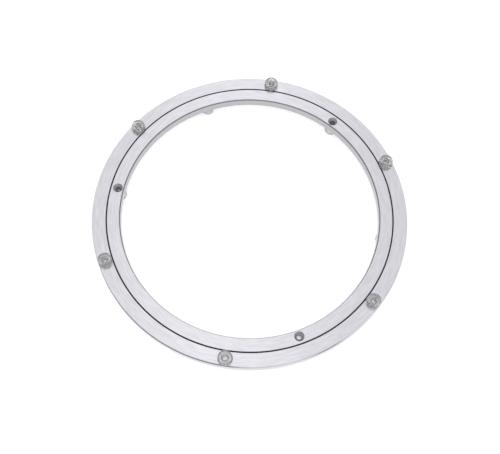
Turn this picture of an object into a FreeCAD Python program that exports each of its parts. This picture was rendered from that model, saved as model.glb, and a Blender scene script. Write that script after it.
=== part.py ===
import FreeCAD, Part
import math
import os
import Sketcher

# Lazy susan bearing: two flat aluminium rings, one inside the other, that turn on one row
# of steel balls in a closed race. Clear soft pads stand on the outer ring and clear soft
# feet carry the inner one. The origin is on the bearing's axis at the floor, with +Z up.

os.makedirs("parts", exist_ok=True)
doc = FreeCAD.newDocument("LazySusanBearing")

# Driving sizes, in millimetres and degrees
sizes = (
    # Rings
    ("outside_diameter", 300.0),
    ("outer_ring_width", 13.4),
    ("ring_gap", 0.9),
    ("inner_ring_width", 12.45),
    ("ring_thickness", 10.0),
    ("rim_chamfer", 1.0),
    ("gap_chamfer", 0.2),
    # Race, balls and cage
    ("channel_depth", 1.1),
    ("ball_diameter", 4.76),
    ("ball_count", 24),
    ("ball_clearance", 0.04),
    ("pocket_clearance", 0.12),
    ("cage_web", 0.8),
    ("cage_end_clearance", 0.3),
    ("cage_side_clearance", 0.5),
    ("cage_butt_gap", 1.5),
    # Screw holes in the inner ring
    ("screw_wall_distance", 6.0),
    ("screw_hole_diameter", 4.8),
    ("countersink_diameter", 9.2),
    ("countersink_angle", 90.0),
    ("screw_count", 3),
    # Feet under the inner ring, one below each screw hole and one between each two holes
    ("first_foot_angle", 51.4),
    ("foot_diameter", 13.0),
    ("foot_floor_diameter", 12.6),
    ("foot_height", 6.0),
    ("foot_edge_radius", 0.6),
    # Pads on the outer ring and the holes that hold their stems
    ("pad_count", 6),
    ("first_pad_angle", 22.9),
    ("pad_edge_distance", 7.0),
    ("pad_hole_diameter", 4.8),
    ("pad_hole_mouth", 5.6),
    ("stem_clearance", 0.05),
    ("stem_length", 8.0),
    ("stem_tip_chamfer", 0.5),
    ("pad_diameter", 13.6),
    ("pad_top_diameter", 12.6),
    ("pad_height", 5.5),
    ("pad_edge_radius", 1.0),
    ("dimple_diameter", 6.4),
    ("dimple_depth", 0.5),
    ("nib_diameter", 1.6),
    ("nib_height", 0.3),
)
sheet = doc.addObject("Spreadsheet::Sheet", "Sizes")
for row, (alias, value) in enumerate(sizes, start=1):
    sheet.set("A%d" % row, alias.replace("_", " "))
    sheet.set("B%d" % row, str(value))
    sheet.setAlias("B%d" % row, alias)
doc.recompute()

# Places that follow from the driving sizes, as expressions on the sheet
outside_radius = "(Sizes.outside_diameter / 2)"
outer_gap_radius = "(%s - Sizes.outer_ring_width)" % outside_radius
race_radius = "(%s - Sizes.ring_gap / 2)" % outer_gap_radius
inner_gap_radius = "(%s - Sizes.ring_gap)" % outer_gap_radius
inside_radius = "(%s - Sizes.inner_ring_width)" % inner_gap_radius
outer_channel_radius = "(%s + Sizes.channel_depth)" % outer_gap_radius
inner_channel_radius = "(%s - Sizes.channel_depth)" % inner_gap_radius
cage_height = "(Sizes.ball_diameter + 2 * Sizes.pocket_clearance + 2 * Sizes.cage_web)"
channel_height = "(%s + 2 * Sizes.cage_end_clearance)" % cage_height
channel_low = "((Sizes.ring_thickness - %s) / 2)" % channel_height
channel_high = "((Sizes.ring_thickness + %s) / 2)" % channel_height
screw_radius = "(%s + Sizes.screw_wall_distance)" % inside_radius
pad_radius = "(%s - Sizes.pad_edge_distance)" % outside_radius
ball_height = "(Sizes.foot_height + Sizes.ring_thickness / 2)"
ring_top = "(Sizes.foot_height + Sizes.ring_thickness)"


def size(alias):
    return float(sheet.get(alias))


def new_body(label):
    body = doc.addObject("PartDesign::Body", label)
    body.Label = label
    return body


def new_sketch(body, role, name):
    sketch = body.newObject("Sketcher::SketchObject", name)
    plane = next(item for item in body.Origin.OriginFeatures if item.Role == role)
    sketch.AttachmentSupport = [(plane, "")]
    sketch.MapMode = "FlatFace"
    return sketch


def place_point(sketch, geometry, point, across, up):
    """Hold a point at the two expressions; a plain 0 puts it on that axis of the sketch."""
    for kind, expression, axis in (("DistanceX", across, -2), ("DistanceY", up, -1)):
        if expression == "0":
            sketch.addConstraint(Sketcher.Constraint("PointOnObject", geometry, point, axis))
        else:
            held = sketch.addConstraint(Sketcher.Constraint(kind, -1, 1, geometry, point, 1.0))
            sketch.setExpression("Constraints[%d]" % held, expression)


def draw_outline(sketch, corners):
    """Closed outline of straight runs through corners given as pairs of expressions."""
    count = len(corners)
    turn = 2 * math.pi / count
    rough = [FreeCAD.Vector(math.cos(turn * i), math.sin(turn * i), 0) for i in range(count)]
    for i in range(count):
        sketch.addGeometry(Part.LineSegment(rough[i], rough[(i + 1) % count]), False)
    for i in range(count):
        joined = Sketcher.Constraint("Coincident", i, 2, (i + 1) % count, 1)
        sketch.addConstraint(joined)
    for i, (across, up) in enumerate(corners):
        place_point(sketch, i, 1, across, up)


def draw_circle(sketch, across, up, radius):
    rough = Part.Circle(FreeCAD.Vector(1, 1, 0), FreeCAD.Vector(0, 0, 1), 1)
    geometry = sketch.addGeometry(rough, False)
    place_point(sketch, geometry, 3, across, up)
    held = sketch.addConstraint(Sketcher.Constraint("Radius", geometry, 1.0))
    sketch.setExpression("Constraints[%d]" % held, radius)


def turn_profile(body, name, corners):
    """Solid of revolution about the body's Z axis."""
    sketch = new_sketch(body, "XZ_Plane", name + "_profile")
    draw_outline(sketch, corners)
    doc.recompute()
    turned = body.newObject("PartDesign::Revolution", name)
    turned.Profile = sketch
    turned.ReferenceAxis = (sketch, ["V_Axis"])
    turned.Angle = 360
    doc.recompute()
    return turned


def pattern_about_axis(body, name, feature, count):
    pattern = body.newObject("PartDesign::PolarPattern", name)
    pattern.Originals = [feature]
    pattern.Axis = (feature.Profile[0], ["N_Axis"])
    pattern.Angle = 360
    pattern.setExpression("Occurrences", count)
    body.Tip = pattern
    doc.recompute()
    return pattern


def require_cut(before, after):
    smallest_cut = 0.1
    if after.Shape.Volume > before.Shape.Volume - smallest_cut:
        raise RuntimeError("%s removes nothing from %s" % (after.Label, before.Label))


def cut_ball_track(body, turned):
    """Round track for the balls, opened in the wall of the ring's channel."""
    sketch = new_sketch(body, "XZ_Plane", body.Name + "_track_section")
    track_radius = "Sizes.ball_diameter / 2 + Sizes.ball_clearance"
    draw_circle(sketch, race_radius, "Sizes.ring_thickness / 2", track_radius)
    doc.recompute()
    track = body.newObject("PartDesign::Groove", body.Name + "_ball_track")
    track.Profile = sketch
    track.ReferenceAxis = (sketch, ["V_Axis"])
    track.Angle = 360
    doc.recompute()
    require_cut(turned, track)
    return track


def drill_ring(body, before, name, radius, diameter, mouth, count):
    """Through holes with a conical mouth, evenly spaced from the ring's own X axis."""
    sketch = new_sketch(body, "XY_Plane", name + "_centre")
    sketch.setExpression("AttachmentOffset.Base.z", "Sizes.ring_thickness")
    draw_circle(sketch, radius, "0", diameter + " / 2")
    doc.recompute()
    hole = body.newObject("PartDesign::Hole", name)
    hole.Profile = sketch
    doc.recompute()
    hole.DepthType = "ThroughAll"
    hole.HoleCutType = "Countersink"
    hole.setExpression("Diameter", diameter)
    hole.setExpression("HoleCutDiameter", mouth)
    hole.setExpression("HoleCutCountersinkAngle", "Sizes.countersink_angle")
    doc.recompute()
    require_cut(before, hole)
    pattern = pattern_about_axis(body, name + "_pattern", hole, count)
    require_cut(hole, pattern)
    return pattern


# Outer ring: turned from one rolled and welded bar, with half of the race in its bore
outer_ring = new_body("outer_ring")
outer_blank = turn_profile(outer_ring, "outer_ring_blank", (
    (outer_gap_radius + " + Sizes.gap_chamfer", "0"),
    (outside_radius + " - Sizes.rim_chamfer", "0"),
    (outside_radius, "Sizes.rim_chamfer"),
    (outside_radius, "Sizes.ring_thickness - Sizes.rim_chamfer"),
    (outside_radius + " - Sizes.rim_chamfer", "Sizes.ring_thickness"),
    (outer_gap_radius + " + Sizes.gap_chamfer", "Sizes.ring_thickness"),
    (outer_gap_radius, "Sizes.ring_thickness - Sizes.gap_chamfer"),
    (outer_gap_radius, channel_high),
    (outer_channel_radius, channel_high),
    (outer_channel_radius, channel_low),
    (outer_gap_radius, channel_low),
    (outer_gap_radius, "Sizes.gap_chamfer"),
))
outer_track = cut_ball_track(outer_ring, outer_blank)
drill_ring(outer_ring, outer_track, "pad_holes", pad_radius,
           "Sizes.pad_hole_diameter", "Sizes.pad_hole_mouth", "Sizes.pad_count")
outer_ring.setExpression("Placement.Base.z", "Sizes.foot_height")
outer_ring.setExpression("Placement.Rotation.Angle", "Sizes.first_pad_angle * 1 deg")

# Inner ring: the other half of the race outside, and countersunk screw holes
inner_ring = new_body("inner_ring")
inner_blank = turn_profile(inner_ring, "inner_ring_blank", (
    (inside_radius + " + Sizes.rim_chamfer", "0"),
    (inner_gap_radius + " - Sizes.gap_chamfer", "0"),
    (inner_gap_radius, "Sizes.gap_chamfer"),
    (inner_gap_radius, channel_low),
    (inner_channel_radius, channel_low),
    (inner_channel_radius, channel_high),
    (inner_gap_radius, channel_high),
    (inner_gap_radius, "Sizes.ring_thickness - Sizes.gap_chamfer"),
    (inner_gap_radius + " - Sizes.gap_chamfer", "Sizes.ring_thickness"),
    (inside_radius + " + Sizes.rim_chamfer", "Sizes.ring_thickness"),
    (inside_radius, "Sizes.ring_thickness - Sizes.rim_chamfer"),
    (inside_radius, "Sizes.rim_chamfer"),
))
inner_track = cut_ball_track(inner_ring, inner_blank)
drill_ring(inner_ring, inner_track, "screw_holes", screw_radius,
           "Sizes.screw_hole_diameter", "Sizes.countersink_diameter", "Sizes.screw_count")
inner_ring.setExpression("Placement.Base.z", "Sizes.foot_height")
inner_ring.setExpression("Placement.Rotation.Angle", "Sizes.first_foot_angle * 1 deg")


# Ball cage: a nylon strip bent into a ring, with a round pocket for each ball and a butt gap
def make_ball_cage():
    cage = new_body("ball_cage")
    cage_inside = inner_channel_radius + " + Sizes.cage_side_clearance"
    cage_outside = outer_channel_radius + " - Sizes.cage_side_clearance"
    strip = turn_profile(cage, "cage_strip", (
        (cage_inside, "0"),
        (cage_outside, "0"),
        (cage_outside, cage_height),
        (cage_inside, cage_height),
    ))
    pocket_sketch = new_sketch(cage, "YZ_Plane", "pocket_circle")
    pocket_radius = "Sizes.ball_diameter / 2 + Sizes.pocket_clearance"
    draw_circle(pocket_sketch, "0", cage_height + " / 2", pocket_radius)
    doc.recompute()
    pocket = cage.newObject("PartDesign::Pocket", "ball_pocket")
    pocket.Profile = pocket_sketch
    pocket.Type = "ThroughAll"
    pocket.Reversed = True
    doc.recompute()
    require_cut(strip, pocket)
    pockets = cage.newObject("PartDesign::PolarPattern", "ball_pockets")
    pockets.Originals = [pocket]
    pockets.Axis = (strip.Profile[0], ["V_Axis"])
    pockets.Angle = 360
    pockets.setExpression("Occurrences", "Sizes.ball_count")
    cage.Tip = pockets
    doc.recompute()
    require_cut(pocket, pockets)
    butt_sketch = new_sketch(cage, "XY_Plane", "butt_gap_outline")
    butt_sketch.setExpression("AttachmentOffset.Rotation.Angle", "180 deg / Sizes.ball_count")
    butt_low = "Sizes.cage_butt_gap"
    draw_outline(butt_sketch, (
        (cage_inside + " - Sizes.cage_side_clearance", "0"),
        (cage_outside + " + Sizes.cage_side_clearance", "0"),
        (cage_outside + " + Sizes.cage_side_clearance", butt_low),
        (cage_inside + " - Sizes.cage_side_clearance", butt_low),
    ))
    doc.recompute()
    butt_gap = cage.newObject("PartDesign::Pocket", "butt_gap")
    butt_gap.Profile = butt_sketch
    butt_gap.Type = "ThroughAll"
    butt_gap.Reversed = True
    doc.recompute()
    require_cut(pockets, butt_gap)
    cage.setExpression("Placement.Base.z", "%s - %s / 2" % (ball_height, cage_height))
    return cage


# Ball: bearing steel, centred in its pocket and in both tracks
def make_ball(number):
    ball = doc.addObject("Part::Sphere", "ball_%02d" % number)
    ball.Label = "ball_%02d" % number
    turn = "(360 deg / Sizes.ball_count * %d)" % (number - 1)
    ball.setExpression("Radius", "Sizes.ball_diameter / 2")
    ball.setExpression("Placement.Base.x", "%s * cos(%s)" % (race_radius, turn))
    ball.setExpression("Placement.Base.y", "%s * sin(%s)" % (race_radius, turn))
    ball.setExpression("Placement.Base.z", ball_height)
    return ball


def round_edge(body, turned, name, edge_radius, circle_diameter, at_top):
    """Fillet on the circular edge of the given diameter at the top or foot of the piece."""
    close = 1e-6
    box = turned.Shape.BoundBox
    level = box.ZMax if at_top else box.ZMin
    for number, edge in enumerate(turned.Shape.Edges, start=1):
        edge_box = edge.BoundBox
        on_level = abs(edge_box.ZMax - level) < close and abs(edge_box.ZMin - level) < close
        if on_level and abs(edge_box.XMax - size(circle_diameter) / 2) < close:
            fillet = body.newObject("PartDesign::Fillet", name)
            fillet.Base = (turned, ["Edge%d" % number])
            fillet.setExpression("Radius", edge_radius)
            doc.recompute()
            return fillet
    raise RuntimeError("no edge to round on %s" % body.Label)


def stand_on_circle(body, radius, first_angle, count, number):
    """Place a piece on a circle about the bearing's axis, counted from the first angle."""
    turn = "(%s * 1 deg + 360 deg / %s * %d)" % (first_angle, count, number - 1)
    body.setExpression("Placement.Base.x", "%s * cos(%s)" % (radius, turn))
    body.setExpression("Placement.Base.y", "%s * sin(%s)" % (radius, turn))


# Top pad: clear soft moulding, a tapered head with a dimple and the mould's nib in it, and
# a stem that is pushed into the outer ring's hole
def make_top_pad(number):
    pad = new_body("top_pad_%d" % number)
    stem_radius = "(Sizes.pad_hole_diameter / 2 - Sizes.stem_clearance)"
    top = "(Sizes.stem_length + Sizes.pad_height)"
    dimple_floor = "(%s - Sizes.dimple_depth)" % top
    nib_top = "(%s + Sizes.nib_height)" % dimple_floor
    moulding = turn_profile(pad, "pad_moulding_%d" % number, (
        ("0", "0"),
        (stem_radius + " - Sizes.stem_tip_chamfer", "0"),
        (stem_radius, "Sizes.stem_tip_chamfer"),
        (stem_radius, "Sizes.stem_length"),
        ("Sizes.pad_diameter / 2", "Sizes.stem_length"),
        ("Sizes.pad_top_diameter / 2", top),
        ("Sizes.dimple_diameter / 2", top),
        ("Sizes.dimple_diameter / 2", dimple_floor),
        ("Sizes.nib_diameter / 2", dimple_floor),
        ("Sizes.nib_diameter / 2", nib_top),
        ("0", nib_top),
    ))
    round_edge(pad, moulding, "pad_edge_%d" % number, "Sizes.pad_edge_radius",
               "pad_top_diameter", True)
    stand_on_circle(pad, pad_radius, "Sizes.first_pad_angle", "Sizes.pad_count", number)
    pad.setExpression("Placement.Base.z", ring_top + " - Sizes.stem_length")
    return pad


# Foot: clear soft tapered moulding bonded under the inner ring. The odd ones stand below the
# screw holes and are bored for the screws; the even ones stand between them and are plain
def make_foot(number, foot_count):
    foot = new_body("foot_%d" % number)
    bored = number % 2 == 1
    inside = "Sizes.screw_hole_diameter / 2" if bored else "0"
    moulding = turn_profile(foot, "foot_moulding_%d" % number, (
        (inside, "0"),
        ("Sizes.foot_floor_diameter / 2", "0"),
        ("Sizes.foot_diameter / 2", "Sizes.foot_height"),
        (inside, "Sizes.foot_height"),
    ))
    round_edge(foot, moulding, "foot_edge_%d" % number, "Sizes.foot_edge_radius",
               "foot_floor_diameter", False)
    stand_on_circle(foot, screw_radius, "Sizes.first_foot_angle", foot_count, number)
    return foot


sub_parts = [outer_ring, inner_ring, make_ball_cage()]
for number in range(1, int(size("ball_count")) + 1):
    sub_parts.append(make_ball(number))
for number in range(1, int(size("pad_count")) + 1):
    sub_parts.append(make_top_pad(number))
for number in range(1, 2 * int(size("screw_count")) + 1):
    sub_parts.append(make_foot(number, "(2 * Sizes.screw_count)"))
doc.recompute()

# Nothing is written unless every object is sound
for item in doc.Objects:
    if "Invalid" in item.State or "Error" in item.State:
        raise RuntimeError("%s failed: %s" % (item.Label, item.State))
for item in sub_parts:
    if item.Shape.isNull() or not item.Shape.isValid() or len(item.Shape.Solids) != 1:
        raise RuntimeError("%s is not one sound solid" % item.Label)
for item in sub_parts:
    item.Shape.exportStep("parts/%s.step" % item.Label)
    print("%-12s %10.2f mm3" % (item.Label, item.Shape.Volume))
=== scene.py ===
import math

import bmesh
import bpy
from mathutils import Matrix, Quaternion, Vector


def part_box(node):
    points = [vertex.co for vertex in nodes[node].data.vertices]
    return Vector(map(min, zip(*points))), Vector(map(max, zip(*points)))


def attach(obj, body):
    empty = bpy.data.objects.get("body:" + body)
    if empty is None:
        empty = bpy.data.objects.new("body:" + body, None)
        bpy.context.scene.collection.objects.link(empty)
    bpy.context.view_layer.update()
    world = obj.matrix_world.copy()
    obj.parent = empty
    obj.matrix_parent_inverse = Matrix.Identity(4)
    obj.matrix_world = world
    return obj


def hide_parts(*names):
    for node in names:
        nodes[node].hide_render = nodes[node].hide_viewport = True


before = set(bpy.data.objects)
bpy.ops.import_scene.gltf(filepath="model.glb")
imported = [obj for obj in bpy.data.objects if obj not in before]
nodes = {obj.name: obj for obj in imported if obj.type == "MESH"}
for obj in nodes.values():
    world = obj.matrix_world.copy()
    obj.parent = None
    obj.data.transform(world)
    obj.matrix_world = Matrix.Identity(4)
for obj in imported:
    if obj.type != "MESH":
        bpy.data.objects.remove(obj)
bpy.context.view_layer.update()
MM = 0.001


# Outer ring. On the real bearing it is a flat bar of 6063 aluminium, rolled and welded into a
# ring, turned on a lathe and brushed round its circle, with half of the ball race in its bore.
# It carries the table top, and six holes through it hold the stems of the top pads.
def linear(code):
    """Linear colour of an sRGB hex code."""
    parts = [int(code[i:i + 2], 16) / 255 for i in (1, 3, 5)]
    curve = [c / 12.92 if c <= 0.04045 else ((c + 0.055) / 1.055) ** 2.4 for c in parts]
    return (*curve, 1.0)


def add(tree, kind, inputs=(), **settings):
    """Adds a node; an input is a plain value or the output socket that feeds it."""
    node = tree.nodes.new(kind)
    for name, value in settings.items():
        setattr(node, name, value)
    for key, value in dict(inputs).items():
        if isinstance(value, bpy.types.NodeSocket):
            tree.links.new(value, node.inputs[key])
        else:
            node.inputs[key].default_value = value
    return node


def new_material(name):
    """A material with only its output; gives it, its tree and that output."""
    material = bpy.data.materials.new(name)
    material.use_nodes = True
    material.node_tree.nodes.clear()
    return material, material.node_tree, add(material.node_tree, "ShaderNodeOutputMaterial")


def polar(tree, place):
    """Distance from the bearing's axis, and the unit direction away from it."""
    flat = add(tree, "ShaderNodeVectorMath", {0: place, 1: (1, 1, 0)}, operation="MULTIPLY").outputs[0]
    radius = add(tree, "ShaderNodeVectorMath", {0: flat}, operation="LENGTH").outputs["Value"]
    outward = add(tree, "ShaderNodeVectorMath", {0: flat}, operation="NORMALIZE").outputs[0]
    return radius, outward


# Clear-anodised 6063 aluminium, brushed round the circle: it gives pale, slightly lavender
# grey with fine arcs in it, and reflections that spread across the arcs.
def make_brushed_aluminium(name, spread):
    light_arc, dark_arc = linear("#E7E6EC"), linear("#D5D4DB")
    fine_pitch = 0.45 * MM    # real strokes are under 0.1 mm apart, too fine to show
    wide_pitch = 1.4 * MM
    strokes_round = 11.0
    stroke_depth = 0.03 * MM
    smoothest, roughest = 0.24, 0.40
    material, tree, output = new_material(name)
    place = add(tree, "ShaderNodeTexCoord").outputs["Object"]
    radius, outward = polar(tree, place)
    along = add(tree, "ShaderNodeVectorMath", {0: (0, 0, 1), 1: outward},
                operation="CROSS_PRODUCT").outputs[0]
    about = add(tree, "ShaderNodeVectorMath", {0: outward, "Scale": strokes_round},
                operation="SCALE").outputs[0]

    def strokes(pitch, detail):
        """Noise drawn out into arcs, narrow across them and long along them."""
        across = add(tree, "ShaderNodeMath", {0: radius, 1: pitch}, operation="DIVIDE").outputs[0]
        return add(tree, "ShaderNodeTexNoise", {"Vector": about, "W": across, "Scale": 1.0,
                   "Detail": detail}, noise_dimensions="4D").outputs["Fac"]

    fine = strokes(fine_pitch, 2.0)
    wide = strokes(wide_pitch, 3.0)
    arcs = add(tree, "ShaderNodeMapRange", {"Value": wide, "From Min": 0.3, "From Max": 0.7})
    colour = add(tree, "ShaderNodeMix", {"Factor": arcs.outputs["Result"], "A": dark_arc,
                 "B": light_arc}, data_type="RGBA")
    rough = add(tree, "ShaderNodeMapRange", {"Value": fine, "To Min": smoothest, "To Max": roughest})
    both = add(tree, "ShaderNodeMath", {0: fine, 1: wide}, operation="ADD").outputs[0]
    bump = add(tree, "ShaderNodeBump", {"Height": both, "Strength": 0.12, "Distance": stroke_depth})
    metal = add(tree, "ShaderNodeBsdfPrincipled", {
        "Base Color": colour.outputs["Result"], "Roughness": rough.outputs["Result"],
        "Metallic": 1.0, "Anisotropic": spread, "Anisotropic Rotation": 0.25,
        "Tangent": along, "Normal": bump.outputs[0]})
    tree.links.new(metal.outputs[0], output.inputs["Surface"])
    return material


# Aluminium as the lathe leaves it on the rims and chamfers: smoother than the brushed faces,
# with fine grooves round the circle, so it shows darker and lighter parts of the room.
def make_turned_aluminium(name, dark_groove, light_groove):
    groove = 0.3 * MM    # the real feed is about 0.1 mm a turn, too fine to show
    groove_depth = 0.02 * MM
    smoothest, roughest = 0.16, 0.28
    material, tree, output = new_material(name)
    place = add(tree, "ShaderNodeTexCoord").outputs["Object"]
    radius, outward = polar(tree, place)
    height = add(tree, "ShaderNodeSeparateXYZ", {0: place}).outputs["Z"]
    down = add(tree, "ShaderNodeMath", {0: radius, 1: height}, operation="ADD").outputs[0]
    over = add(tree, "ShaderNodeMath", {0: down, 1: groove}, operation="DIVIDE").outputs[0]
    grooves = add(tree, "ShaderNodeTexNoise", {"Vector": outward, "W": over, "Scale": 1.0,
                  "Detail": 2.0}, noise_dimensions="4D").outputs["Fac"]
    colour = add(tree, "ShaderNodeMix", {"Factor": grooves, "A": linear(dark_groove),
                 "B": linear(light_groove)}, data_type="RGBA")
    rough = add(tree, "ShaderNodeMapRange",
                {"Value": grooves, "To Min": smoothest, "To Max": roughest})
    bump = add(tree, "ShaderNodeBump",
               {"Height": grooves, "Strength": 0.15, "Distance": groove_depth})
    metal = add(tree, "ShaderNodeBsdfPrincipled", {
        "Base Color": colour.outputs["Result"], "Roughness": rough.outputs["Result"],
        "Metallic": 1.0, "Normal": bump.outputs[0]})
    tree.links.new(metal.outputs[0], output.inputs["Surface"])
    return material


# The race and its lips carry a film of grease, so they are dull. Their dark grey is painted shade:
# the shade deep in the running gap, which shows as one dark line between the two pale rings.
def make_gap_shaded_aluminium():
    smear = 3.0 * MM
    smoothest, roughest = 0.3, 0.5
    material, tree, output = new_material("aluminium_race_painted_shade")
    place = add(tree, "ShaderNodeTexCoord").outputs["Object"]
    film = add(tree, "ShaderNodeTexNoise",
               {"Vector": place, "Scale": 1 / smear, "Detail": 4.0}).outputs["Fac"]
    colour = add(tree, "ShaderNodeMix", {"Factor": film, "A": linear("#5E5E60"),
                 "B": linear("#7C7C7E")}, data_type="RGBA")
    rough = add(tree, "ShaderNodeMapRange", {"Value": film, "To Min": smoothest, "To Max": roughest})
    metal = add(tree, "ShaderNodeBsdfPrincipled", {
        "Base Color": colour.outputs["Result"], "Roughness": rough.outputs["Result"],
        "Metallic": 1.0})
    tree.links.new(metal.outputs[0], output.inputs["Surface"])
    return material


# Aluminium where a tool has cut it, with fine rings from the tool's edge and no brushing: an
# even satin grey in a countersink. Down a drilled or reamed bore the grey is darker: painted shade.
def make_cut_aluminium(name, colour, smoothest, roughest):
    tool_mark = 0.9 * MM    # the real marks are about 0.1 mm apart, too fine to show
    mark_depth = 0.02 * MM
    material, tree, output = new_material(name)
    place = add(tree, "ShaderNodeTexCoord").outputs["Object"]
    marks = add(tree, "ShaderNodeTexWave", {"Vector": place, "Scale": 1 / (2 * math.pi * tool_mark),
                "Distortion": 2.0, "Detail": 2.0}, bands_direction="Z").outputs["Fac"]
    rough = add(tree, "ShaderNodeMapRange", {"Value": marks, "To Min": smoothest, "To Max": roughest})
    bump = add(tree, "ShaderNodeBump", {"Height": marks, "Strength": 0.2, "Distance": mark_depth})
    metal = add(tree, "ShaderNodeBsdfPrincipled", {
        "Base Color": linear(colour), "Roughness": rough.outputs["Result"],
        "Metallic": 1.0, "Normal": bump.outputs[0]})
    tree.links.new(metal.outputs[0], output.inputs["Surface"])
    return material


def rounded(corners, steps=5, support=0.04 * MM):
    """Points of an outline whose corners (across, up, radius) are rounded, each arc between
    two short straight runs, so that the flat faces beside it shade flat."""
    points = []
    count = len(corners)
    for i, (x, z, radius) in enumerate(corners):
        here = Vector((x, z))
        if radius == 0:
            points.append(here)
            continue
        before = (Vector(corners[i - 1][:2]) - here).normalized()
        after = (Vector(corners[(i + 1) % count][:2]) - here).normalized()
        half = before.angle(after) / 2
        reach = radius / math.tan(half)
        centre = here + (before + after).normalized() * radius / math.sin(half)
        start, end = here + before * reach, here + after * reach
        points.append(start + before * support)
        for step in range(steps + 1):
            arm = (start - centre).lerp(end - centre, step / steps)
            points.append(centre + arm.normalized() * radius)
        points.append(end + after * support)
    return points


def outline_piece(name, points, path_radius, closed):
    """An object that holds half of a turned piece's section, ready to be swept round a circle."""
    spots = [(p.x - path_radius, -p.y, 0) for p in points]
    runs = [(i, i + 1) for i in range(len(spots) - 1)]
    if closed:
        runs.append((len(spots) - 1, 0))
    mesh = bpy.data.meshes.new(name)
    mesh.from_pydata(spots, runs, [])
    piece = bpy.data.objects.new(name, mesh)
    bpy.context.scene.collection.objects.link(piece)
    return piece


def new_tree(name, inputs):
    """A node tree with named inputs; gives it and a way to the sockets of those inputs."""
    tree = bpy.data.node_groups.new(name, "GeometryNodeTree")
    tree.interface.new_socket("Outline", in_out="INPUT", socket_type="NodeSocketGeometry")
    for label, kind in inputs:
        tree.interface.new_socket(label, in_out="INPUT", socket_type="NodeSocket" + kind)
    tree.interface.new_socket("Piece", in_out="OUTPUT", socket_type="NodeSocketGeometry")
    return tree, add(tree, "NodeGroupInput").outputs


def build(piece, tree, values):
    """Runs a tree on the outline with the named values and keeps the result as a plain mesh."""
    modifier = piece.modifiers.new(tree.name, "NODES")
    modifier.node_group = tree
    for item in tree.interface.items_tree:
        if item.in_out == "INPUT" and item.name in values:
            modifier[item.identifier] = values[item.name]
    graph = bpy.context.evaluated_depsgraph_get()
    made = bpy.data.meshes.new_from_object(piece.evaluated_get(graph), depsgraph=graph)
    piece.modifiers.clear()
    piece.data = made
    weld_distance = 0.0005 * MM
    shell = bmesh.new()
    shell.from_mesh(made)
    bmesh.ops.remove_doubles(shell, verts=shell.verts, dist=weld_distance)
    bmesh.ops.recalc_face_normals(shell, faces=shell.faces)
    sharp = math.radians(35)
    for face in shell.faces:
        face.smooth = True
    for edge in shell.edges:
        edge.smooth = edge.calc_face_angle(math.pi) < sharp
    shell.to_mesh(made)
    shell.free()
    return piece


def sweep(tree, outline, path_radius, segments):
    """Sweeps the outline round a circle of the path's radius."""
    section = add(tree, "GeometryNodeMeshToCurve", {"Mesh": outline}).outputs[0]
    path = add(tree, "GeometryNodeCurvePrimitiveCircle",
               {"Resolution": segments, "Radius": path_radius}).outputs[0]
    return add(tree, "GeometryNodeCurveToMesh", {"Curve": path, "Profile Curve": section}).outputs[0]


def stand_round(tree, shape, count, circle, first_turn, lift):
    """Stands copies of a shape on a circle, the first at an angle from the X axis."""
    spots = add(tree, "GeometryNodeMeshCircle", {"Vertices": count, "Radius": circle}).outputs[0]
    turn = add(tree, "ShaderNodeCombineXYZ", {2: first_turn}).outputs[0]
    height = add(tree, "ShaderNodeCombineXYZ", {2: lift}).outputs[0]
    turned = add(tree, "GeometryNodeTransform",
                 {"Geometry": spots, "Rotation": turn, "Translation": height}).outputs[0]
    copies = add(tree, "GeometryNodeInstanceOnPoints", {"Points": turned, "Instance": shape})
    return add(tree, "GeometryNodeRealizeInstances", {0: copies.outputs[0]}).outputs[0]


def finish_ring(tree, blank, given):
    """Brushed flat faces, turned rims and chamfers, and the race round the path in painted gap shade.
    """
    level = 0.9    # how far up or down a face's unit normal points
    race_reach = 2.6 * MM
    normal = add(tree, "GeometryNodeInputNormal").outputs["Normal"]
    tilt = add(tree, "ShaderNodeSeparateXYZ", {0: normal}).outputs["Z"]
    size_of_tilt = add(tree, "ShaderNodeMath", {0: tilt}, operation="ABSOLUTE").outputs[0]
    steep = add(tree, "ShaderNodeMath", {0: size_of_tilt, 1: level}, operation="LESS_THAN").outputs[0]
    radius = polar(tree, add(tree, "GeometryNodeInputPosition").outputs[0])[0]
    in_race = add(tree, "ShaderNodeMath", {0: radius, 1: given["Path radius"], 2: race_reach},
                  operation="COMPARE").outputs[0]
    dressed = add(tree, "GeometryNodeSetMaterial", {"Geometry": blank, "Material": given["Brushed"]})
    # Steep faces take the turned finish, and the race the dark grey painted as the gap's shade.
    for faces, finish in ((steep, "Turned"), (in_race, "Race shade")):
        dressed = add(tree, "GeometryNodeSetMaterial", {
            "Geometry": dressed.outputs[0], "Selection": faces, "Material": given[finish]})
    return dressed.outputs[0]


def finish_holes(tree, cut, given):
    """A drilled wall, which stands upright, and a sloping countersunk mouth for each hole."""
    upright, upright_spare = 0.0, 0.3    # how far up a face's unit normal points
    sloping, sloping_spare = 0.7, 0.2
    normal = add(tree, "GeometryNodeInputNormal").outputs["Normal"]
    tilt = add(tree, "ShaderNodeSeparateXYZ", {0: normal}).outputs["Z"]
    radius = polar(tree, add(tree, "GeometryNodeInputPosition").outputs[0])[0]
    for finish, reach, slope, spare in (
            ("Drilled", "Hole radius", upright, upright_spare),
            ("Countersunk", "Mouth radius", sloping, sloping_spare)):
        on_circle = add(tree, "ShaderNodeMath", {0: radius, 1: given["Hole circle"], 2: given[reach]},
                        operation="COMPARE").outputs[0]
        sloped = add(tree, "ShaderNodeMath", {0: tilt, 1: slope, 2: spare},
                     operation="COMPARE").outputs[0]
        both = add(tree, "ShaderNodeMath", {0: on_circle, 1: sloped}, operation="MULTIPLY").outputs[0]
        cut = add(tree, "GeometryNodeSetMaterial", {
            "Geometry": cut, "Selection": both, "Material": given[finish]}).outputs[0]
    return cut


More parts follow.
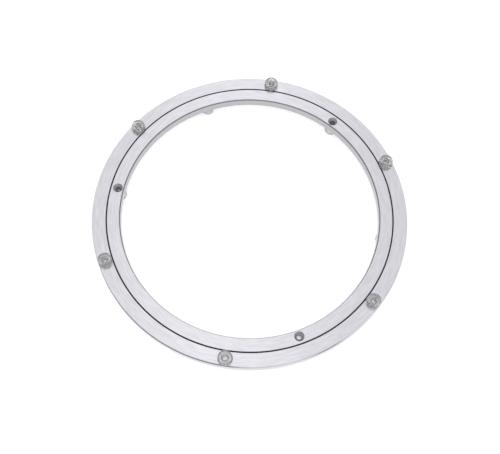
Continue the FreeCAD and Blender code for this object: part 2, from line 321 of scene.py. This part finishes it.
def make_ring_tree():
    """A turned ring with countersunk holes: the ring, less a drill and a cone at each hole."""
    tree, given = new_tree("turned_and_drilled_ring", (
        ("Path radius", "Float"), ("Segments", "Int"), ("Top", "Float"), ("Thickness", "Float"),
        ("Hole count", "Int"), ("Hole circle", "Float"), ("First hole", "Float"),
        ("Hole radius", "Float"), ("Mouth radius", "Float"), ("Brushed", "Material"),
        ("Turned", "Material"), ("Race shade", "Material"), ("Drilled", "Material"),
        ("Countersunk", "Material")))
    over = 1.0 * MM
    hole_sides = 64
    blank = sweep(tree, given["Outline"], given["Path radius"], given["Segments"])
    half = add(tree, "ShaderNodeMath", {0: given["Thickness"], 1: 2.0}, operation="DIVIDE").outputs[0]
    middle = add(tree, "ShaderNodeMath", {0: given["Top"], 1: half}, operation="SUBTRACT").outputs[0]
    length = add(tree, "ShaderNodeMath", {0: given["Thickness"], 1: 2 * over},
                 operation="ADD").outputs[0]
    drill = add(tree, "GeometryNodeMeshCylinder",
                {"Vertices": hole_sides, "Radius": given["Hole radius"],
                 "Depth": length}).outputs["Mesh"]
    reach = add(tree, "ShaderNodeMath", {0: given["Mouth radius"], 1: over}, operation="ADD").outputs[0]
    cone = add(tree, "GeometryNodeMeshCone", {"Vertices": hole_sides, "Radius Top": reach,
               "Radius Bottom": 0.0, "Depth": reach}).outputs["Mesh"]
    tip = add(tree, "ShaderNodeMath", {0: given["Top"], 1: given["Mouth radius"]},
              operation="SUBTRACT").outputs[0]
    cut = finish_ring(tree, blank, given)
    for shape, lift in ((drill, middle), (cone, tip)):
        row = stand_round(tree, shape, given["Hole count"], given["Hole circle"],
                          given["First hole"], lift)
        cut = add(tree, "GeometryNodeMeshBoolean", {"Mesh 1": cut, "Mesh 2": row},
                  operation="DIFFERENCE", solver="MANIFOLD").outputs["Mesh"]
    add(tree, "NodeGroupOutput", {0: finish_holes(tree, cut, given)})
    return tree


floor_to_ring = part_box("outer_ring")[0].z
ring_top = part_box("outer_ring")[1].z
ring_thickness = ring_top - floor_to_ring
rim_chamfer = 1.0 * MM
gap_chamfer = 0.2 * MM
edge_break = 0.08 * MM
race_radius = 136.15 * MM
half_gap = 0.45 * MM
channel_depth = 1.1 * MM
channel_height = 7.2 * MM
track_radius = 2.42 * MM
outer_radius = 150.0 * MM
ring_segments = 360

outer_aluminium = make_brushed_aluminium("aluminium_circular_brushed", 0.6)
turned_aluminium = make_turned_aluminium("aluminium_turned", "#C6C6C9", "#D4D4D7")
# The race and its lips are painted dark grey as the shade in the running gap.
gap_shaded_aluminium = make_gap_shaded_aluminium()
# The walls of the pad holes are painted darker grey as the shade inside the holes.
shaded_reamed_aluminium = make_cut_aluminium("aluminium_reamed_painted_shade", "#A8A8AC", 0.18, 0.28)
countersunk_aluminium = make_cut_aluminium("aluminium_countersunk", "#C6C6CA", 0.35, 0.45)
ring_tree = make_ring_tree()


def ring_outline(gap_side, far_side):
    """Section of a ring: far_side is its rim, and gap_side the lips of its half of the race."""
    outward = 1 if far_side > gap_side else -1
    low, high = floor_to_ring, ring_top
    middle = (low + high) / 2
    lip_low, lip_high = middle - channel_height / 2, middle + channel_height / 2
    wall = gap_side + outward * channel_depth
    into_wall = abs(wall - race_radius)
    half_track = math.sqrt(track_radius ** 2 - into_wall ** 2)
    track_turn = math.atan2(half_track, into_wall)
    track = []
    track_steps = 12
    for step in range(track_steps + 1):
        turn = -track_turn + 2 * track_turn * step / track_steps
        across = race_radius + outward * track_radius * math.cos(turn)
        track.append((across, middle + track_radius * math.sin(turn), 0))
    corners = [
        (gap_side, low + gap_chamfer, edge_break),
        (gap_side, lip_low, 0),
        (wall, lip_low, 0),
        *track,
        (wall, lip_high, 0),
        (gap_side, lip_high, 0),
        (gap_side, high - gap_chamfer, edge_break),
        (gap_side + outward * gap_chamfer, high, edge_break),
        (far_side - outward * rim_chamfer, high, edge_break),
        (far_side, high - rim_chamfer, edge_break),
        (far_side, low + rim_chamfer, edge_break),
        (far_side - outward * rim_chamfer, low, edge_break),
        (gap_side + outward * gap_chamfer, low, edge_break),
    ]
    return rounded(corners if outward > 0 else corners[::-1])


def spot_on_circle(node):
    """Distance of a node's middle from the bearing's axis, and its turn from the X axis."""
    low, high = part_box(node)
    middle = (low + high) / 2
    return math.hypot(middle.x, middle.y), math.atan2(middle.y, middle.x)


pad_count = 6
pad_circle, first_pad = spot_on_circle("top_pad_1")
pad_hole_radius = 2.4 * MM
pad_hole_mouth = 2.8 * MM

outer_ring = outline_piece("outer_ring_brushed", ring_outline(race_radius + half_gap, outer_radius),
                           race_radius, closed=True)
build(outer_ring, ring_tree, {
    "Path radius": race_radius, "Segments": ring_segments, "Top": ring_top,
    "Thickness": ring_thickness, "Hole count": pad_count, "Hole circle": pad_circle,
    "First hole": first_pad, "Hole radius": pad_hole_radius, "Mouth radius": pad_hole_mouth,
    "Brushed": outer_aluminium, "Turned": turned_aluminium, "Race shade": gap_shaded_aluminium,
    "Drilled": shaded_reamed_aluminium, "Countersunk": countersunk_aluminium})
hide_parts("outer_ring")
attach(outer_ring, "turntable")

# Inner ring. It is rolled, turned and brushed as the outer one is, and has the other half of
# the race on its outside. It stays still: three countersunk holes take the screws that fix
# it, through the feet, to the base.
inner_radius = 123.25 * MM
screw_count = 3
screw_circle, first_screw = spot_on_circle("foot_1")
screw_hole_radius = 2.4 * MM
countersink_radius = 4.6 * MM
inner_aluminium = make_brushed_aluminium("aluminium_circular_brushed_softly", 0.25)
# The bore's finish is the turned one made darker: painted shade on the inner ring's inner wall.
shaded_bore_aluminium = make_turned_aluminium("aluminium_bore_painted_shade", "#B2B2B6", "#C0C0C4")
# The walls of the screw holes are painted dark grey as the shade down the holes.
shaded_drilled_aluminium = make_cut_aluminium("aluminium_drilled_painted_shade", "#6A6A6E", 0.18, 0.28)

inner_ring = outline_piece("inner_ring_brushed", ring_outline(race_radius - half_gap, inner_radius),
                           race_radius, closed=True)
build(inner_ring, ring_tree, {
    "Path radius": race_radius, "Segments": ring_segments, "Top": ring_top,
    "Thickness": ring_thickness, "Hole count": screw_count, "Hole circle": screw_circle,
    "First hole": first_screw, "Hole radius": screw_hole_radius,
    "Mouth radius": countersink_radius, "Brushed": inner_aluminium, "Turned": shaded_bore_aluminium,
    "Race shade": gap_shaded_aluminium, "Drilled": shaded_drilled_aluminium,
    "Countersunk": countersunk_aluminium})
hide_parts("inner_ring")
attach(inner_ring, "base")


# Ball cage. It is a strip of black nylon with a round window for each ball, bent into the
# race before the outer ring is closed round it, so its ends meet at a small gap.
def make_black_nylon():
    cloud = 6.0 * MM
    nylon_index = 1.53
    smoothest, roughest = 0.4, 0.55
    material, tree, output = new_material("nylon_black_moulded")
    place = add(tree, "ShaderNodeTexCoord").outputs["Object"]
    haze = add(tree, "ShaderNodeTexNoise",
               {"Vector": place, "Scale": 1 / cloud, "Detail": 3.0}).outputs["Fac"]
    colour = add(tree, "ShaderNodeMix", {"Factor": haze, "A": linear("#2B2B2D"),
                 "B": linear("#333336")}, data_type="RGBA")
    rough = add(tree, "ShaderNodeMapRange", {"Value": haze, "To Min": smoothest, "To Max": roughest})
    nylon = add(tree, "ShaderNodeBsdfPrincipled", {
        "Base Color": colour.outputs["Result"], "Roughness": rough.outputs["Result"],
        "IOR": nylon_index})
    tree.links.new(nylon.outputs[0], output.inputs["Surface"])
    return material


black_nylon = make_black_nylon()
nodes["ball_cage"].data.materials.clear()
nodes["ball_cage"].data.materials.append(black_nylon)


# Balls. They are ground and polished bearing steel, held apart by the cage and rolling in the
# tracks of both rings. The closed race hides them, but for a glint in the running gap.
def make_polished_steel():
    scuff = 0.5 * MM
    smoothest, roughest = 0.06, 0.16
    material, tree, output = new_material("bearing_steel_polished")
    place = add(tree, "ShaderNodeTexCoord").outputs["Object"]
    scuffs = add(tree, "ShaderNodeTexNoise",
                 {"Vector": place, "Scale": 1 / scuff, "Detail": 4.0}).outputs["Fac"]
    rough = add(tree, "ShaderNodeMapRange",
                {"Value": scuffs, "To Min": smoothest, "To Max": roughest})
    steel = add(tree, "ShaderNodeBsdfPrincipled", {
        "Base Color": linear("#CFCFD2"), "Metallic": 1.0, "Roughness": rough.outputs["Result"]})
    tree.links.new(steel.outputs[0], output.inputs["Surface"])
    return material


def make_turned_row_tree():
    """Turned pieces on a circle: the outline swept round its own axis, copied round the ring.
    Faces beyond a radius or below a height of the piece's own get the worn finish."""
    tree, given = new_tree("turned_pieces_on_a_circle", (
        ("Path radius", "Float"), ("Segments", "Int"), ("Count", "Int"), ("Circle", "Float"),
        ("First turn", "Float"), ("Lift", "Float"), ("Worn beyond", "Float"),
        ("Worn below", "Float"), ("Finish", "Material"), ("Worn finish", "Material")))
    turned = sweep(tree, given["Outline"], given["Path radius"], given["Segments"])
    place = add(tree, "GeometryNodeInputPosition").outputs[0]
    height = add(tree, "ShaderNodeSeparateXYZ", {0: place}).outputs["Z"]
    outside = add(tree, "ShaderNodeMath", {0: polar(tree, place)[0], 1: given["Worn beyond"]},
                  operation="GREATER_THAN").outputs[0]
    under = add(tree, "ShaderNodeMath", {0: height, 1: given["Worn below"]},
                operation="LESS_THAN").outputs[0]
    either = add(tree, "ShaderNodeMath", {0: outside, 1: under}, operation="MAXIMUM").outputs[0]
    marked = add(tree, "GeometryNodeCaptureAttribute", {"Geometry": turned}, domain="FACE")
    marked.capture_items.new("BOOLEAN", "Worn")
    tree.links.new(either, marked.inputs["Worn"])
    row = stand_round(tree, marked.outputs["Geometry"], given["Count"], given["Circle"],
                      given["First turn"], given["Lift"])
    fresh = add(tree, "GeometryNodeSetMaterial", {"Geometry": row, "Material": given["Finish"]})
    worn = add(tree, "GeometryNodeSetMaterial", {
        "Geometry": fresh.outputs[0], "Selection": marked.outputs["Worn"],
        "Material": given["Worn finish"]})
    add(tree, "NodeGroupOutput", {0: worn.outputs[0]})
    return tree


row_tree = make_turned_row_tree()
own_axis_path = 1.0 * MM
ball_nodes = sorted(name for name in nodes if name.startswith("ball_") and name != "ball_cage")
ball_radius = 2.38 * MM
ball_height = floor_to_ring + ring_thickness / 2
ball_steps = 24
ball_segments = 40
ball_outline = []
for step in range(ball_steps + 1):
    turn = math.pi * (step / ball_steps - 0.5)
    ball_outline.append(Vector((ball_radius * math.cos(turn), ball_radius * math.sin(turn))))
polished_steel = make_polished_steel()
balls = outline_piece("balls_polished", ball_outline, own_axis_path, closed=False)
build(balls, row_tree, {
    "Path radius": own_axis_path, "Segments": ball_segments, "Count": len(ball_nodes),
    "Circle": race_radius, "First turn": 0.0, "Lift": ball_height,
    "Finish": polished_steel, "Worn finish": polished_steel})
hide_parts(*ball_nodes)
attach(balls, "cage")


# Top pads. Each is one moulding of clear soft PVC: a tapered head with a shallow dimple and the
# mould's nib on top and a ring-shaped hollow underneath, which keeps its wall even, and a stem
# that is pressed into the outer ring's hole. They grip the underside of the table top.
def make_soft_pvc(name, thin_place, thick_place, smoothest, roughest, clearness):
    cloud = 2.5 * MM
    ripple_depth = 0.1 * MM
    pvc_index = 1.53
    material, tree, output = new_material(name)
    place = add(tree, "ShaderNodeTexCoord").outputs["Object"]
    haze = add(tree, "ShaderNodeTexNoise",
               {"Vector": place, "Scale": 1 / cloud, "Detail": 3.0}).outputs["Fac"]
    colour = add(tree, "ShaderNodeMix", {"Factor": haze, "A": linear(thick_place),
                 "B": linear(thin_place)}, data_type="RGBA")
    rough = add(tree, "ShaderNodeMapRange", {"Value": haze, "To Min": smoothest, "To Max": roughest})
    bump = add(tree, "ShaderNodeBump", {"Height": haze, "Strength": 0.1, "Distance": ripple_depth})
    pvc = add(tree, "ShaderNodeBsdfPrincipled", {
        "Base Color": colour.outputs["Result"], "Roughness": rough.outputs["Result"],
        "Transmission Weight": clearness, "IOR": pvc_index, "Normal": bump.outputs[0]})
    tree.links.new(pvc.outputs[0], output.inputs["Surface"])
    return material


# The top of a head is clear. Its sides and the stem are scuffed, so they look duller.
clear_pvc = make_soft_pvc("soft_pvc_clear_moulded", "#FFFFFF", "#FAFAFA", 0.03, 0.08, 0.92)
scuffed_pvc = make_soft_pvc("soft_pvc_clear_scuffed", "#EEEEEE", "#E2E2E2", 0.45, 0.55, 0.85)
seat_clearance = 0.03 * MM
pad_radius = 6.8 * MM
pad_top_radius = 6.3 * MM
pad_side_from = 6.4 * MM    # faces whose middles lie beyond this are the sides
pad_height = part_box("top_pad_1")[1].z - ring_top
stem_radius = 2.35 * MM
stem_length = 8.0 * MM
stem_tip_round = 0.5 * MM
dimple_radius = 3.4 * MM
dimple_floor_radius = 2.7 * MM
dimple_depth = 0.5 * MM
nib_radius = 0.8 * MM
nib_height = 0.3 * MM
hollow_inside = 3.2 * MM
hollow_outside = 5.8 * MM
hollow_taper = 0.4 * MM
hollow_depth = 2.5 * MM
hollow_round = 0.3 * MM
seat_round = 0.1 * MM
pad_edge_round = 1.0 * MM
dimple_round = 0.12 * MM
nib_foot_round = 0.05 * MM
nib_round = 0.1 * MM
pad_segments = 72
dimple_floor = pad_height - dimple_depth
pad_outline = rounded([
    (0, -stem_length, 0),
    (stem_radius, -stem_length, stem_tip_round),
    (stem_radius, seat_clearance, seat_round),
    (hollow_inside, seat_clearance, seat_round),
    (hollow_inside + hollow_taper, seat_clearance + hollow_depth, hollow_round),
    (hollow_outside - hollow_taper, seat_clearance + hollow_depth, hollow_round),
    (hollow_outside, seat_clearance, seat_round),
    (pad_radius, seat_clearance, seat_round),
    (pad_top_radius, pad_height, pad_edge_round),
    (dimple_radius, pad_height, dimple_round),
    (dimple_floor_radius, dimple_floor, dimple_round),
    (nib_radius, dimple_floor, nib_foot_round),
    (nib_radius, dimple_floor + nib_height, nib_round),
    (0, dimple_floor + nib_height, 0),
])
top_pads = outline_piece("top_pads_clear", pad_outline, own_axis_path, closed=False)
build(top_pads, row_tree, {
    "Path radius": own_axis_path, "Segments": pad_segments, "Count": pad_count,
    "Circle": pad_circle, "First turn": first_pad, "Lift": ring_top,
    "Worn beyond": pad_side_from, "Worn below": 0.0, "Finish": clear_pvc,
    "Worn finish": scuffed_pvc})
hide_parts(*[f"top_pad_{i}" for i in range(1, pad_count + 1)])
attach(top_pads, "turntable")

# Feet. They are soft PVC too, with a matt, frosted skin, bonded under the inner ring. The three
# under the screw holes are bored, so that the screws pass, and the three between are plain.
frosted_pvc = make_soft_pvc("soft_pvc_frosted_moulded", "#FFFFFF", "#F7F7F7", 0.5, 0.6, 0.95)
foot_height = floor_to_ring - seat_clearance
foot_radius = 6.5 * MM
foot_floor_radius = 6.3 * MM
foot_edge = 0.6 * MM
foot_round = 0.1 * MM
foot_segments = 72
bored_outline = rounded([
    (screw_hole_radius, 0, foot_round),
    (foot_floor_radius, 0, foot_edge),
    (foot_radius, foot_height, foot_round),
    (screw_hole_radius, foot_height, foot_round),
])
plain_outline = rounded([
    (0, 0, 0),
    (foot_floor_radius, 0, foot_edge),
    (foot_radius, foot_height, foot_round),
    (0, foot_height, 0),
])
foot_kinds = (
    ("feet_bored", bored_outline, True, first_screw, (1, 3, 5)),
    ("feet_plain", plain_outline, False, first_screw + math.pi / screw_count, (2, 4, 6)),
)
for name, outline, closed, first_turn, numbers in foot_kinds:
    feet = outline_piece(name, outline, own_axis_path, closed)
    build(feet, row_tree, {
        "Path radius": own_axis_path, "Segments": foot_segments, "Count": screw_count,
        "Circle": screw_circle, "First turn": first_turn, "Lift": 0.0, "Finish": frosted_pvc,
        "Worn finish": frosted_pvc})
    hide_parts(*[f"foot_{number}" for number in numbers])
    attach(feet, "base")


# Floor. A plain pale sheet under the bearing. The camera, metal and clear parts see it lit a
# little further towards white, and the bearing's shadow stays on it.
def make_floor_paper():
    glow_seen = 0.52
    material, tree, output = new_material("floor_paper")
    paths = add(tree, "ShaderNodeLightPath").outputs
    mirrored = add(tree, "ShaderNodeMath",
                   {0: paths["Is Glossy Ray"], 1: paths["Is Transmission Ray"]},
                   operation="MAXIMUM").outputs[0]
    seen = add(tree, "ShaderNodeMath", {0: paths["Is Camera Ray"], 1: mirrored},
               operation="MAXIMUM").outputs[0]
    lift = add(tree, "ShaderNodeMath", {0: seen, 1: glow_seen}, operation="MULTIPLY").outputs[0]
    paper = add(tree, "ShaderNodeBsdfDiffuse", {"Color": linear("#F2F2F2")}).outputs[0]
    glow = add(tree, "ShaderNodeEmission", {"Strength": lift}).outputs[0]
    both = add(tree, "ShaderNodeAddShader", {0: paper, 1: glow}).outputs[0]
    tree.links.new(both, output.inputs["Surface"])
    return material


floor_size = 6.0
floor_drop = 0.05 * MM
bpy.ops.mesh.primitive_plane_add(size=floor_size, location=(0, 0, -floor_drop))
floor = bpy.context.object
floor.name = "floor"
floor.data.materials.append(make_floor_paper())

# Light. A white dome, brighter overhead than at the horizon, and one long softbox that runs front
# to back high at the back, so the far and near sides of the brushed rings come out brighter than
# the left and right. Two low white cards, in front and at the right, show in the rim's chamfer.
horizon_light, overhead_light = 0.36, 0.85
rise_from, rise_to = 0.42, 0.85
world = bpy.data.worlds.new("white_dome")
bpy.context.scene.world = world
world.use_nodes = True
sky = world.node_tree
sky.nodes.clear()
paths = add(sky, "ShaderNodeLightPath").outputs
way = add(sky, "ShaderNodeTexCoord").outputs["Generated"]
rise = add(sky, "ShaderNodeSeparateXYZ", {0: way}).outputs["Z"]
dome = add(sky, "ShaderNodeMapRange", {
    "Value": rise, "From Min": rise_from, "From Max": rise_to, "To Min": horizon_light,
    "To Max": overhead_light}, interpolation_type="SMOOTHSTEP").outputs["Result"]
seen_white = add(sky, "ShaderNodeBackground", {"Color": (1, 1, 1, 1), "Strength": 1.0})
dome_light = add(sky, "ShaderNodeBackground", {"Color": (1, 1, 1, 1), "Strength": dome})
pick = add(sky, "ShaderNodeMixShader", {
    0: paths["Is Camera Ray"], 1: dome_light.outputs[0], 2: seen_white.outputs[0]})
add(sky, "ShaderNodeOutputWorld", {0: pick.outputs[0]})


def stand_lamp(name, width, height, power, place, turn):
    """A flat rectangular light that faces the bearing, turned about its own line of sight."""
    light = bpy.data.lights.new(name, "AREA")
    light.shape = "RECTANGLE"
    light.size = width
    light.size_y = height
    light.energy = power
    lamp = bpy.data.objects.new(name, light)
    bpy.context.scene.collection.objects.link(lamp)
    lamp.location = place
    lamp.rotation_mode = "QUATERNION"
    facing = (-lamp.location).to_track_quat("-Z", "Y")
    lamp.rotation_quaternion = facing @ Quaternion((0, 0, 1), turn)
    lamp.visible_camera = False


stand_lamp("softbox_strip", width=0.9, height=4.0, power=4.6, place=(-0.1, 1.0, 2.3),
           turn=math.radians(-10))
stand_lamp("front_card", width=1.0, height=0.35, power=0.9, place=(0.39, -1.45, 0.25), turn=0.0)
stand_lamp("side_card", width=0.8, height=0.35, power=0.7, place=(1.3, -0.72, 0.12), turn=0.0)

# Camera. It stands where the photograph was taken from: in front of the bearing, 66 degrees
# above it and about 0.65 m away, turned a little clockwise. Heights are from the rings' top.
camera_place = Vector((0.0, -263.1, 591.2)) * MM + Vector((0, 0, ring_top))
camera_aim = Vector((0.5, -17.2, 0.0)) * MM + Vector((0, 0, ring_top))
camera_roll = math.radians(1.92)
lens = bpy.data.cameras.new("camera")
lens.lens = 48.9
lens.clip_start = 0.01
lens.clip_end = 20.0
camera = bpy.data.objects.new("camera", lens)
bpy.context.scene.collection.objects.link(camera)
camera.location = camera_place
camera.rotation_mode = "QUATERNION"
level = (camera_aim - camera_place).to_track_quat("-Z", "Y")
camera.rotation_quaternion = level @ Quaternion((0, 0, 1), camera_roll)
bpy.context.scene.camera = camera
bpy.context.scene.view_settings.view_transform = "Standard"
